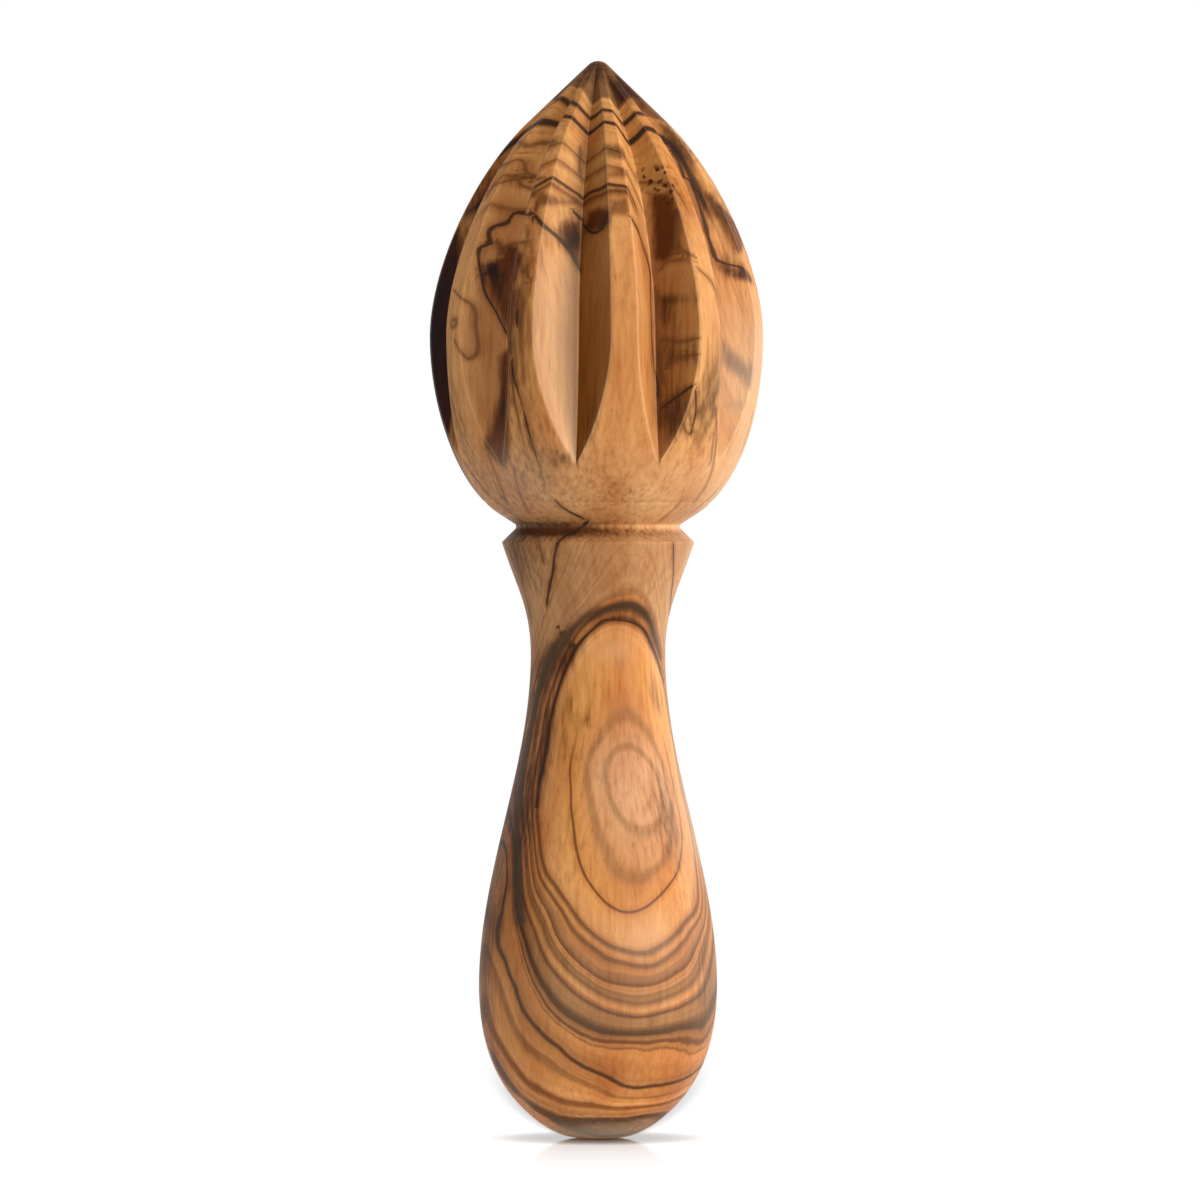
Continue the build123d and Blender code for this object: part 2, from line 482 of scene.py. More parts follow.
def beside_veins(veins):
    """Signed offset from the nearest vein, distance to it, and its half width, for each vertex."""
    offset = np.full(len(body_points), nothing_near)
    distance = np.full(len(body_points), nothing_near)
    half_width = np.full(len(body_points), usual_half_width)
    for width, corners in veins:
        near, aside, above, gap, nearest = unrolled(smooth_route(corners))
        pick = np.arange(len(near)), nearest
        crossed = np.diff(aside) * above[:, :-1] - np.diff(above) * aside[:, :-1]
        closer = gap[pick] < distance[near]
        chosen = near[closer]
        distance[chosen] = gap[pick][closer]
        offset[chosen] = (np.sign(crossed[pick]) * gap[pick])[closer]
        half_width[chosen] = width
    return np.stack([offset, distance, half_width], axis=1)


def outside_patches(patches):
    """Distance from the nearest patch's edge for each vertex, negative inside: there the edge's
    signed angles, seen from the vertex, add up to a whole turn."""
    distance = np.full(len(body_points), nothing_near)
    for corners in patches:
        near, aside, above, gap, nearest = unrolled(smooth_route(corners + corners[:1]))
        crossed = aside[:, :-1] * above[:, 1:] - above[:, :-1] * aside[:, 1:]
        aligned = aside[:, :-1] * aside[:, 1:] + above[:, :-1] * above[:, 1:]
        inside = np.abs(np.arctan2(crossed, aligned).sum(axis=1)) > pi
        signed = gap.min(axis=1) * np.where(inside, -1, 1)
        distance[near] = np.minimum(distance[near], signed)
    return distance


# Single veins that leave the growth layers: half width in mm, then azimuth and height of corners.
# Smears are wide, soft, dark streaks.
black_veins = [
    (0.28, [(-28.5, 137), (-24, 135.5), (-21, 134.5), (-18.5, 133.5), (-13.5, 131.5), (-10.5, 129.5),
        (-9, 128.5)]),
    (0.24, [(-7, 135), (-3.5, 134), (0, 134), (2.5, 135), (4, 136.5)]),
    (0.12, [(14, 136), (18, 134), (21, 131.5), (24, 128.5), (23, 125), (22.5, 121), (23.5, 116.5),
        (26, 112), (26, 110)]),
    (0.16, [(-41, 47), (-44, 52), (-42, 58), (-40, 63), (-35, 66.5)] + arch_places),
    (0.20, [(64, 142), (63.5, 140), (63, 138), (62.5, 135), (62.5, 131), (63.5, 130), (66, 129.5),
        (68.5, 129), (70, 127.5)]),
    (0.26, [(-28.5, 136.5), (-43.5, 137), (-47, 137), (-48, 136), (-48.5, 135.5), (-52, 135),
        (-52.5, 134), (-51.5, 132.5), (-53.5, 132), (-53.5, 131)]),
    (0.10, [(-53.5, 131), (-52.5, 129), (-51.5, 127.5), (-50, 125), (-47, 122.5), (-45, 120.5),
        (-42, 118.5), (-31.5, 116.5)]),
    (0.14, [(-30.5, 115), (-30.5, 113), (-29, 110.5), (-27.5, 107.5), (-26.5, 104.5), (-25, 100.5),
        (-23.5, 96), (-18.5, 93.5), (-9, 92)]),
    (0.22, [(-7, 91.5), (-16, 90), (-23, 89), (-29, 86), (-32, 84), (-37, 82), (-43, 79.5)]),
    (0.10, [(52, 88), (56, 86), (63, 83.5), (70, 81), (81, 78)]),
    (0.14, [(62.5, 146), (63, 145), (62, 142.5)]),
    (0.20, [(-12.5, 137), (-9.5, 136)]),
    (0.16, [(-28.5, 122), (-28.5, 120.5)]),
    (0.12, [(36.3, 110.5), (37.5, 107.5), (37, 104.5)]),
    (0.12, [(28, 108.5), (30.5, 109.5), (33, 110.5), (35, 111.4)]),
]
brown_veins = [
    (0.10, [(-63.5, 144), (-56.5, 144.5), (-53, 145), (-50, 144.5), (-47, 143), (-35, 142), (-28, 142)]),
    (0.10, [(-60, 139.5), (-59, 141), (-55, 141.5), (-52, 142), (-49.5, 142), (-46.5, 141),
        (-30.5, 139.5)]),
    (0.30, [(-57, 147.5), (-51.5, 147), (-47.5, 147.5), (-29.5, 147.5)]),
    (0.12, [(-29.5, 132.5), (-43.5, 132.5), (-47, 132), (-48, 131.5), (-49, 132.5)]),
    (0.12, [(-60.5, 125.5), (-54, 124), (-52, 122.5), (-51.5, 120), (-51, 117.5), (-51.5, 116),
        (-53, 115.5), (-54.5, 116.5), (-57, 118)]),
    (0.10, [(-59, 121.5), (-57, 121.3), (-56.5, 120.8), (-58.5, 120), (-60, 120.6), (-59, 121.5)]),
    (0.10, [(-30.5, 113.5), (-31, 110), (-30, 106.5), (-29.5, 103)]),
    (0.12, [(-25.5, 127.5), (-25, 127)]),
    (0.12, [(-28.5, 125), (-29, 123.5), (-29, 121)]),
    (0.08, [(-48, 103.5), (-49, 100), (-50.5, 96), (-58, 92.5)]),
    (0.08, [(-70.5, 100), (-67, 97), (-62, 94), (-60, 92)]),
    (0.08, [(-37, 99.5), (-40, 95.5), (-42, 93)]),
    (0.08, [(39.5, 128.5), (43.5, 127), (45.5, 125), (46.5, 121.5)]),
    (0.08, [(47, 108), (50, 105), (53, 102), (57, 98), (58, 94.5)]),
    (0.08, [(43, 104), (45, 100), (46, 95), (45, 92)]),
    (0.08, [(77, 107.5), (79, 101.5), (76, 97), (68, 93.5)]),
    (0.14, [(66, 142), (66, 140), (67.5, 138.5), (69.5, 136.5), (76, 135.5), (77.5, 131.5)]),
    (0.18, [(65.5, 151.5), (70.5, 151), (67.5, 148.5), (68.5, 147), (66.5, 144), (64, 141)]),
    (0.10, [(-13, 146.5), (-12, 143)]),
    (0.16, [(-63, 88), (-64, 84.5), (-70, 81), (-71, 77)]),
    (0.18, [(-38, 88), (-37, 86)]),
    (0.08, [(26.5, 125.5), (25.5, 121), (26.5, 116), (28, 112)]),
    (0.16, [(36.5, 137), (34.6, 133.5), (34.5, 132), (36, 131), (37.8, 130.6)]),
    (0.14, [(28.5, 128.8), (30, 129.5), (33, 130), (35, 130)]),
    (0.14, [(28.5, 118.5), (31, 118), (34, 118), (35.5, 118.3)]),
    (0.14, [(28.5, 114.5), (32, 115.5), (35.3, 115.9)]),
    (0.12, [(32, 106.5), (34, 105), (36, 104.5)]),
]
smears = [
    (0.35, [(-28, 74.5), (-20, 75.8), (-12, 77), (-2, 78)] + over_arch),
    (1.30, [(-28, 74.5), (-37, 73), (-47, 71), (-54, 68.5), (-63, 65), (-65, 61), (-69, 57), (-67, 53),
        (-60, 47.5)]),
    (0.7, [(-60, 47.5), (-54, 43), (-48, 38), (-43, 33)]),
]
# Patches, each inside a smooth line through corners at an azimuth and a height
brown_patches = [
    [(-47.5, 130.5), (-47.5, 132), (-30.5, 131.5), (-29.5, 127), (-31, 115.5), (-40, 118), (-45, 121),
        (-49, 125), (-51, 128), (-51.5, 129), (-50, 130)],
    [(-34.5, 119), (-45, 116.5), (-45.5, 114), (-45, 110.5), (-46, 108), (-47.5, 104), (-49, 102.5),
        (-42.5, 99.5), (-35.5, 103.5), (-31, 115)],
    [(-18, 134), (-17, 135.5), (-14.5, 136), (-12.5, 135.5), (-10, 136), (-9, 133), (-8.5, 129),
        (-10.5, 129.5), (-13.5, 131.5)],
    [(66, 140), (68, 140), (70, 138), (77.5, 136), (77, 133), (69, 131), (67.5, 133), (66.5, 135.5),
        (65.5, 137)],
    [(63, 130), (66, 129.2), (72, 128.2), (74, 126.5), (68, 127.2), (65, 128), (63, 128.8)],
    [(62, 146), (64, 150), (68, 150.5), (69, 148), (67, 145)],
    [(29, 140), (28.6, 137), (28, 134), (27.6, 130.2), (31, 130), (33.8, 131.6), (34, 133.5),
        (35.8, 136.5), (36, 139.5)],
    [(61.5, 118.5), (65.5, 116), (68, 113.5), (68, 111), (65.5, 113), (61.5, 115.5)],
    [(22.5, 156.5), (27, 153.8), (32.5, 153.4), (62.5, 154.3), (64, 153), (72, 155), (68, 158)],
    [(-5, 137), (3, 137.5), (5, 135.5), (0, 134.3), (-6, 134.6)],
]
dark_patches = [
    [(-97, 134), (-88, 134), (-86.5, 135), (-84, 132), (-80, 120), (-81, 100), (-86, 96), (-97, 97)],
    [(-50.8, 129.3), (-48.6, 129.2), (-47.6, 128), (-50, 128)],
    [(-47.8, 127.6), (-46.6, 127), (-44, 123.4), (-45.6, 124), (-47.6, 126.4)],
]
ashen_patches = [
    [(-29, 138.5), (-27, 140), (-22, 139.5), (-18.5, 139), (-12, 138.5), (-15.5, 138), (-21.5, 138),
        (-25, 138), (-27, 137)],
    [(5, 138.8), (12.5, 138.8), (12.5, 136.6), (5, 136.8)],
    [(5, 140.4), (13, 140.4), (13, 139.7), (5, 139.7)],
    [(5, 143), (13.5, 143), (13.5, 142.2), (5, 142.2)],
    [(5, 147), (15.5, 146.6), (15.5, 145), (5, 145.4)],
]
keep_on_points("black_veins", beside_veins(black_veins))
keep_on_points("brown_veins", beside_veins(brown_veins))
keep_on_points("smears", beside_veins(smears))
patch_groups = (brown_patches, dark_patches, ashen_patches)
keep_on_points("patches", np.stack([outside_patches(group) for group in patch_groups], axis=1))

# The right walls of the wide flute and the one after it are darker: partly dark heartwood, partly
# painted shade, as they face away from the key lamp. The left wall of the wide flute and the wood to
# the right of the front get a painted sheen, the valleys and the arrises painted highlight lines, and
# the foot a painted reflection of the table.
valley_column = 0
arris_columns = (len(wall_shares), columns_per_flute - len(wall_shares))
foot_reflection_height = 1.0
foot_reflection_reach = 1.4
flute_of_column, column_of_flute = np.divmod(np.arange(azimuth.shape[1]), columns_per_flute)
# Painted shade, partly dark heartwood: its strength on the right walls of the first two flutes
heartwood_and_shade = np.zeros(flute_count)
heartwood_and_shade[:2] = (0.9, 0.7)
on_right_wall = read_off(column_of_flute, [(0.5, 0.0), (1, 1.15), (10, 0.85), (10.5, 0.0)])
# Painted sheen on the wide flute's left wall, rising towards its valley, where it also lightens the key
# lamp's shadow
on_left_wall = read_off(column_of_flute, [(19.5, 0.0), (20, 0.7), (25, 0.9), (29, 1.6)])
at_wide_flute = flute_of_column == flute_count - 1
in_valley, on_arris = column_of_flute == valley_column, np.isin(column_of_flute, arris_columns)
# Painted highlight lines along the valleys and the arrises
edge_highlights = np.select([in_valley, on_arris], [0.5, 0.65], 0.0)
carved = read_off(height, [(run_out[1] + 2.5, 0), (run_out[1] + 4, 1)])
lower = read_off(height, [(102, 1.15), (115, 1.0), (135, 0.8), (152, 0.4)])
# Painted reflection of the table: a pale band on the foot, about 1 mm up
foot_reflection = 0.8 * np.exp(-(((height - foot_reflection_height) / foot_reflection_reach) ** 2))
# Painted sheen over the right side, at azimuths 42 to 150 degrees, strongest 43 to 50 mm and 100 to 118
# mm up
right_side_sheen = read_off(np.degrees(azimuth) % 360, [(42, 0), (74, 1), (110, 1), (150, 0)])
right_side_sheen = right_side_sheen * read_off(height, [
    (36, 0.2), (43, 1.0), (50, 1.0), (62, 0.3), (78, 0.3), (100, 0.9), (118, 1.1), (127, 0.1),
])
# Painted sheen on the wide flute's left wall, below 127 mm
left_wall_sheen = on_left_wall * at_wide_flute * read_off(height, [(127, 1.0), (132, 0.25)])
heartwood_and_shade_shares = heartwood_and_shade[flute_of_column] * on_right_wall * carved * lower
# Painted sheen, highlights and reflection, added up
sheen_shares = np.maximum(edge_highlights, left_wall_sheen * lower) * carved + foot_reflection + right_side_sheen


def at_vertices(shares):
    """A grid of shares as one number per vertex, with 0 for the foot's and the tip's own vertex."""
    return np.append(shares.reshape(-1), [0, 0])


keep_on_points("heartwood_and_shade", at_vertices(heartwood_and_shade_shares))


def spot_field(spots):
    """A soft stain or painted sheen for each vertex: the sum of amount times exp(-distance squared) over
    the spots.

    A spot has an azimuth and a height, half sizes in mm along the turn and along the height, a
    lean in degrees and an amount.
    """
    total = np.zeros(len(body_points))
    for azimuth_degrees, height_mm, half_across, half_up, lean, amount in spots:
        aside = np.radians(short_way(own_azimuth - azimuth_degrees)) * own_radius
        above = own_height - height_mm
        along = (aside * sin(radians(lean)) + above * cos(radians(lean))) / half_up
        across = (aside * cos(radians(lean)) - above * sin(radians(lean))) / half_across
        total += amount * np.exp(-(along**2 + across**2))
    return total


brown_stains = [
    (-88, 118, 6, 22, 0, 1), (-86, 142, 3, 5, 0, 0.4), (-49, 128, 1, 2, -20, 0.5),
    (33, 138, 1.6, 3, 0, 0.3), (67, 130, 1.5, 1.2, 0, 0.4), (-12.5, 133, 1.2, 1.8, 0, 0.4),
    (-28, 122, 2.6, 17, 0, 0.7), (-27, 100, 5, 8, 0, 0.32), (-42, 108, 1.4, 8, 0, 0.5),
    (32, 116, 3.5, 2, 0, 0.5), (32, 109, 4, 4.5, 0, 0.5), (32, 124.2, 2.6, 0.9, 0, 0.5),
    (28.5, 122, 0.9, 2.5, 0, 0.45), (66, 114.3, 2.4, 1.6, 35, 0.5), (-12, 133, 1.8, 2.6, 0, 0.55),
    (-47, 127, 3, 5, -15, 0.2), (-24, 62, 4, 9, -8, 0.3), (-26, 71.5, 1.5, 4, 45, 0.6),
    (-80, 50, 2.2, 20, 0, 0.5), (42, 50, 4, 8, 0, 0.22), (-16, 43, 4, 7, 0, 0.18),
    (66, 24, 3, 8, 0, 0.45), (56, 66, 1.6, 4, 0, 0.5), (0, 158.5, 3, 2.2, 0, 0.6),
    (72, 138, 2.2, 5, 18, 0.5), (65.5, 108.8, 1.2, 1.4, 30, 0.5), (66, 128, 1.6, 1.2, -20, 0.5),
    (30, 121.5, 0.8, 3, 0, 0.4), (-50, 50, 2.2, 14, 0, 0.5), (10, 96, 8, 4, 0, 0.3),
    (-14, 101, 2, 1.5, 0, 0.4), (6, 66.8, 2.2, 1.8, 0, 0.2), (-7.5, 61.8, 0.7, 1.8, -20, 0.4),
    (25, 77.6, 6, 1.2, 0, 0.5), (-42, 60, 1.2, 9, 0, 0.4), (0, 90, 60, 1, 0, 0.4),
    (-40, 90.5, 10, 1.2, 0, 0.7), (-3, 106, 1.4, 6, 0, 0.4), (30, 106, 1.6, 3.5, 0, 0.4),
    (72, 147, 1.5, 3, 0, 0.5),
]
# Grey stains: partly grey wood, partly painted grey sheen along the left edges and a painted reflection
# band on the foot
ashen_and_sheen_stains = [
    (-63, 104, 3.5, 16, 0, 0.5), (44, 110, 3.2, 9, 10, 0.75), (-80, 40, 5, 22, 0, 0.4),
    (-52, 52, 3, 12, -6, 0.35), (20, 71, 2.2, 1.8, 0, 0.2), (-60, 86, 6, 6, 0, 0.5),
    (0, 1.2, 14, 2, 0, 0.8), (-72, 24, 4, 12, 0, 0.55), (60, 22, 4, 4, 20, 0.35),
    (50, 47, 3.5, 10, 0, 0.5), (-62, 38, 4, 8, 0, 0.3), (-40, 97, 5, 5, 0, 0.35),
    (-22, 139, 1.5, 0.8, 0, 0.3),
]
burl_spots = [
    (35, 140.3, 1.6, 2, 0, 1), (30.5, 142.3, 1.6, 1.2, 0, 0.8), (36, 143.2, 1.6, 1, 0, 0.8),
    (66, 148, 2, 2.5, 0, 0.7), (-49.5, 128.5, 1.2, 1.6, 0, 0.9),
]
# Spots of painted sheen on the handle and the lower head
sheen_spots = [
    (24, 31, 6, 4, 0, 0.6), (0, 21, 30, 7, 0, 0.22), (14, 72.5, 3, 2, 0, 0.5), (-38, 98, 6, 5, 0, 0.8),
    (40, 97, 6, 5, 0, 0.25), (65, 112, 2.5, 6, 0, 0.5),
]
keep_on_points("painted_sheen", at_vertices(sheen_shares) + spot_field(sheen_spots))
keep_on_points("brown_stains", spot_field(brown_stains))
keep_on_points("ashen_and_sheen_stains", spot_field(ashen_and_sheen_stains))
keep_on_points("burl", spot_field(burl_spots))


def linear(hex_colour):
    """An sRGB hex colour as linear red, green, blue and an alpha of 1."""
    parts = [int(hex_colour[i:i + 2], 16) / 255 for i in (1, 3, 5)]
    return [p / 12.92 if p <= 0.04045 else ((p + 0.055) / 1.055) ** 2.4 for p in parts] + [1.0]


def add(kind, inputs=None, **settings):
    """Adds one node to the tree at hand, with plain values and links for its inputs.

    An input is linked to another node's output, or to the first output in use of a whole node.
    Inputs that share a name go by number: a Mix node's numbers are 2 and 3, its colours 6 and 7.
    """
    made = tree.nodes.new("ShaderNode" + kind)
    for name, value in settings.items():
        setattr(made, name, value)
    for socket, value in (inputs or {}).items():
        if isinstance(value, bpy.types.Node):
            value = next(output for output in value.outputs if output.enabled)
        if isinstance(value, bpy.types.NodeSocket):
            tree.links.new(value, made.inputs[socket])
        else:
            made.inputs[socket].default_value = value
    return made


# Olive wood, turned, carved, sanded and oiled: warm orange-brown with dark veins between its growth
# layers, fine pores along the grain, and a low satin gloss that turns pale at grazing angles.
olive_wood = bpy.data.materials.new("olive_wood_oiled")
olive_wood.use_nodes = True
tree = olive_wood.node_tree
tree.nodes.clear()
place = add("TexCoord").outputs["Object"]
along_grain = add("Mapping", {"Vector": place, "Scale": (1.0, 1.0, 0.12)})
upright = add("SeparateXYZ", {"Vector": place}).outputs["Z"]
smooth = {"interpolation_type": "SMOOTHSTEP"}

# The veins wander over 12.5 mm and 3 mm, and the fibres, 0.4 mm apart, comb their edges. Each moves
# them by up to half of its reach in mm.
wander_length = 12.5 * millimetre
tremble_length = 3.03 * millimetre
fibre_gap = 0.4 * millimetre
wander = add("TexNoise", {"Vector": place, "Scale": 1 / wander_length, "Detail": 1.0})
tremble = add("TexNoise", {"Vector": place, "Scale": 1 / tremble_length, "Detail": 1.0})
comb = add("TexNoise", {"Vector": along_grain, "Scale": 1 / fibre_gap, "Detail": 1.0})
wobble_reaches = ((wander, 0.7), (tremble, 0.2), (comb, 0.06))
wobble = -sum(reach for noise, reach in wobble_reaches) / 2
for noise, reach in wobble_reaches:
    wobble = add("Math", {0: noise, 1: reach, 2: wobble}, operation="MULTIPLY_ADD")


def banded(attribute_name, bands):
    """Depth of the growth layers with their wobble, and the wood's colour by that depth.

    The bands are runs of (depth in mm, hex colour) pairs, one colour ramp for each run.
    """
    depth = add("Attribute", attribute_name=attribute_name).outputs["Fac"]
    moved = add("Math", {0: depth, 1: wobble}, operation="ADD")
    colour = None
    for run in bands:
        first, last = run[0][0], run[-1][0]
        share = add("MapRange", {"Value": moved, "From Min": first, "From Max": last})
        ramp = add("ValToRGB", {"Fac": share})
        elements = ramp.color_ramp.elements
        elements.remove(elements[-1])
        for index, (level, hex_colour) in enumerate(run):
            position = (level - first) / (last - first)
            element = elements[0] if index == 0 else elements.new(position)
            element.position = position
            element.color = linear(hex_colour)
        if colour is None:
            colour = ramp
        else:
            beyond = add("Math", {0: moved, 1: first}, operation="GREATER_THAN")
            colour = add("Mix", {"Factor": beyond, 6: colour, 7: ramp}, data_type="RGBA")
    return moved, colour


def within(*limits):
    """A share that is 1 past all of its limits: the product of a smooth rise from 0 for each."""
    share = None
    for value, low, high in limits:
        rise = add("MapRange", {"Value": value, "From Min": low, "From Max": high}, **smooth)
        share = rise if share is None else add("Math", {0: share, 1: rise}, operation="MULTIPLY")
    return share


def painted(colour, coats, blend_type="MIX"):
    """A colour under coats that each have a share and a tint, which covers or multiplies it."""
    for share, tint in coats:
        colour = add("Mix", {
            "Factor": share, 6: colour, 7: linear(tint),
        }, data_type="RGBA", blend_type=blend_type)
    return colour


handle_bands = [
    [
        (0.0, "#D9A87E"), (4.2, "#D4A076"), (4.75, "#B8895C"), (5.25, "#B4875E"), (5.9, "#D09C6E"),
        (7.6, "#CE9664"), (8.3, "#B07D4E"), (8.9, "#B07D4E"), (9.6, "#CC8C52"), (11.2, "#D2904E"),
        (11.95, "#C58448"), (12.1, "#7A4A24"), (12.3, "#7A4A24"), (12.5, "#C8864A"),
        (13.2, "#D89754"), (15.5, "#DA9C5E"), (16.1, "#D0945A"),
    ],
    [
        (16.1, "#D0945A"), (16.5, "#B87B43"), (16.65, "#7E5230"), (16.9, "#7E5230"),
        (17.05, "#A06D3C"), (17.35, "#C88A50"), (17.65, "#B87D46"), (17.8, "#80542E"),
        (18.02, "#80542E"), (18.2, "#B87B43"), (18.45, "#C88A50"), (18.65, "#A87348"),
        (19.1, "#8E6038"), (19.28, "#6E4624"), (19.42, "#C5874E"), (19.75, "#C88C56"),
        (19.95, "#8E6036"), (20.25, "#986A3E"), (20.6, "#8A5C32"), (20.85, "#A07040"),
        (21.05, "#BC8048"),
    ],
    [
        (21.05, "#BC8048"), (21.4, "#CC9058"), (21.7, "#B07642"), (21.95, "#74492A"),
        (22.1, "#683F20"), (22.25, "#94643A"), (22.6, "#A27244"), (23.1, "#986A3E"),
        (23.4, "#7E5630"), (23.55, "#5A3A1C"), (23.85, "#4A2E16"), (23.98, "#8A5A30"),
        (24.15, "#A06D3E"), (24.24, "#7A4C26"), (24.33, "#7A4C26"), (24.4, "#C07F44"),
        (24.47, "#B07744"), (24.52, "#8A5A30"), (24.58, "#C07F44"), (24.95, "#B87940"),
    ],
    [
        (24.95, "#B87940"), (25.3, "#B27844"), (25.42, "#7A4E2A"), (25.49, "#4E3018"),
        (25.57, "#4A2E16"), (25.75, "#B0733C"), (26.3, "#C5864C"), (26.5, "#9A6430"),
        (26.65, "#946238"), (26.85, "#BE7E41"), (27.5, "#CE9258"), (27.7, "#8A5628"),
        (27.95, "#8A5628"), (28.2, "#B87B44"), (28.9, "#A87344"), (29.1, "#5A3A20"),
        (29.4, "#5A3A20"), (29.7, "#9A7048"), (30.4, "#9A7450"), (31.0, "#7E5C40"),
        (33.0, "#B07D4C"), (34.2, "#6E4522"), (36.5, "#B8763C"),
    ],
]
head_bands = [
    [
        (0.0, "#DCA672"), (4.0, "#D89E64"), (7.0, "#D69A5C"), (8.9, "#D29454"), (9.3, "#B0733E"),
        (9.45, "#8A5628"), (9.65, "#8A5628"), (9.8, "#C07F44"), (9.95, "#A06B3E"),
        (10.05, "#54321A"), (10.25, "#54321A"), (10.4, "#C88A4E"), (11.4, "#D89C5B"),
        (12.0, "#B07744"), (12.3, "#94602F"), (12.6, "#CC9056"), (13.6, "#DCA05E"),
        (14.4, "#C0874C"), (14.75, "#8A5628"), (15.0, "#C48A4E"),
    ],
    [
        (15.0, "#C48A4E"), (16.5, "#D89A58"), (19.3, "#D69654"), (19.6, "#94602F"),
        (19.75, "#40260F"), (20.3, "#40260F"), (20.5, "#B07744"), (21.0, "#D69654"),
        (22.4, "#D69654"), (22.75, "#B07744"), (22.95, "#462912"), (23.4, "#462912"),
        (23.6, "#C88A4E"), (24.5, "#DCA05E"), (28.0, "#D49656"), (28.2, "#94602F"),
        (28.4, "#D09050"), (31.0, "#C88A4E"), (33.5, "#D09050"), (33.7, "#6E4522"),
        (33.95, "#C88A4E"), (37.5, "#D09050"), (37.8, "#7A4A22"), (38.1, "#D09050"),
        (42.0, "#C5864C"), (42.2, "#6E4522"), (42.5, "#C5864C"), (46.0, "#D09050"),
    ],
]
handle_layer, handle_colour = banded("handle_layers", handle_bands)
head_layer, head_colour = banded("head_layers", head_bands)

# Over the ovals' upper ends the handle is plain, and above its arch the collar is speckled brown.
# The head is plain at its belly and under its flutes, and brown on its cap. The limits are depths
# in mm and heights in m.
plain_handle = within((handle_layer, 10.5, 11.5), (handle_layer, 15.8, 14.6), (upright, 0.054, 0.063))
on_collar = within((handle_layer, 18.3, 19.3), (upright, 0.066, 0.077))
plain_head = within((head_layer, 26.5, 25.5), (upright, 0.1385, 0.1355))
under_flutes = within((upright, 0.106, 0.097))
on_cap = within((head_layer, 24.7, 25.0), (upright, 0.149, 0.152))
over_neck = within((upright, 0.0896, 0.0906))
handle_colour = painted(handle_colour, ((plain_handle, "#D2934F"), (on_collar, "#BB8B5D")))
head_colour = painted(head_colour, (
    (plain_head, "#D2965A"), (under_flutes, "#D49D66"), (on_cap, "#80562F"),
))
colour = add("Mix", {"Factor": over_neck, 6: handle_colour, 7: head_colour}, data_type="RGBA")
layer = add("Mix", {"Factor": over_neck, 2: handle_layer, 3: head_layer})

# Fine lines run beside the veins, 0.45 mm apart, and clouds of 8 mm and mottle of 0.7 mm, both
# drawn out along the grain, lie over them
line_gap = 0.4545
line_length = 16.67 * millimetre
cloud_size = 7.69 * millimetre
mottle_size = 0.6667 * millimetre
lines_place = add("CombineXYZ", {0: layer, 1: 0.0, 2: upright})
lines_place = add("Mapping", {"Vector": lines_place, "Scale": (1 / line_gap, 1.0, 1 / line_length)})
fine_lines = add("TexNoise", {"Vector": lines_place, "Scale": 1.0, "Detail": 3.0})
line_share = add("MapRange", {"Value": fine_lines, "From Min": 0.45, "From Max": 0.75, "To Max": 0.5})
far_from_pith = add("MapRange", {"Value": layer, "From Min": 14.0, "From Max": 19.0, "To Min": 0.04})
line_share = add("Math", {0: line_share, 1: far_from_pith}, operation="MULTIPLY")
clouds = add("TexNoise", {"Vector": along_grain, "Scale": 1 / cloud_size, "Detail": 3.0})
cloud_share = add("MapRange", {"Value": clouds, "From Min": 0.40, "From Max": 0.70, "To Max": 0.65})
mottle = add("TexNoise", {"Vector": along_grain, "Scale": 1 / mottle_size, "Detail": 4.0})
mottle_share = add("MapRange", {"Value": mottle, "From Min": 0.40, "From Max": 0.78, "To Max": 0.42})

# Pores: dark flecks 0.2 mm wide and 2 mm long
pore_width = 0.2381 * millimetre
pores_place = add("Mapping", {"Vector": place, "Scale": (1.0, 1.0, 0.10)})
pores = add("TexNoise", {"Vector": pores_place, "Scale": 1 / pore_width, "Detail": 2.0})
pore_share = add("MapRange", {"Value": pores, "From Min": 0.60, "From Max": 0.76, "To Max": 0.35})

# Stains, the painted grey sheen and patches have mottled edges
stain_edge = add("Math", {0: mottle, 1: 0.7, 2: -0.35}, operation="MULTIPLY_ADD")
stain_and_sheen_shares = []
for name in ("brown_stains", "ashen_and_sheen_stains"):
    soft_spot = add("Attribute", attribute_name=name).outputs["Fac"]
    ragged = add("Math", {0: soft_spot, 1: stain_edge}, operation="ADD")
    stain_and_sheen_shares.append(within((ragged, 0.08, 0.95)))
patches = add("Attribute", attribute_name="patches").outputs["Vector"]
patches = add("SeparateXYZ", {"Vector": patches})
patch_shares = []
for reach, patch in zip((0.65, 0.45, 0.6), patches.outputs):
    ragged = add("Math", {0: stain_edge, 1: -0.8, 2: patch}, operation="MULTIPLY_ADD")
    ragged = add("Math", {0: wobble, 1: 1.2, 2: ragged}, operation="MULTIPLY_ADD")
    patch_shares.append(within((ragged, reach, -reach)))

# The burl's dark eyes, 1.1 mm apart, lie unevenly
eye_gap = 1.111 * millimetre
# This share darkens the flutes' right walls: partly heartwood, partly painted shade
heartwood_and_shade_share = add("Attribute", attribute_name="heartwood_and_shade").outputs["Fac"]
burl = add("Attribute", attribute_name="burl").outputs["Fac"]
bend = add("TexNoise", {"Vector": place, "Scale": 1 / eye_gap, "Detail": 2.0}).outputs["Color"]
bent_place = add("VectorMath", {0: bend, 1: (0.0012, 0.0012, 0.0018), 2: place}, operation="MULTIPLY_ADD")
eyes = add("TexVoronoi", {"Vector": bent_place, "Scale": 1 / eye_gap}, feature="F1")
eye_share = within((eyes, 0.44, 0.28))
eye_share = add("Math", {0: eye_share, 1: burl}, operation="MULTIPLY", use_clamp=True)

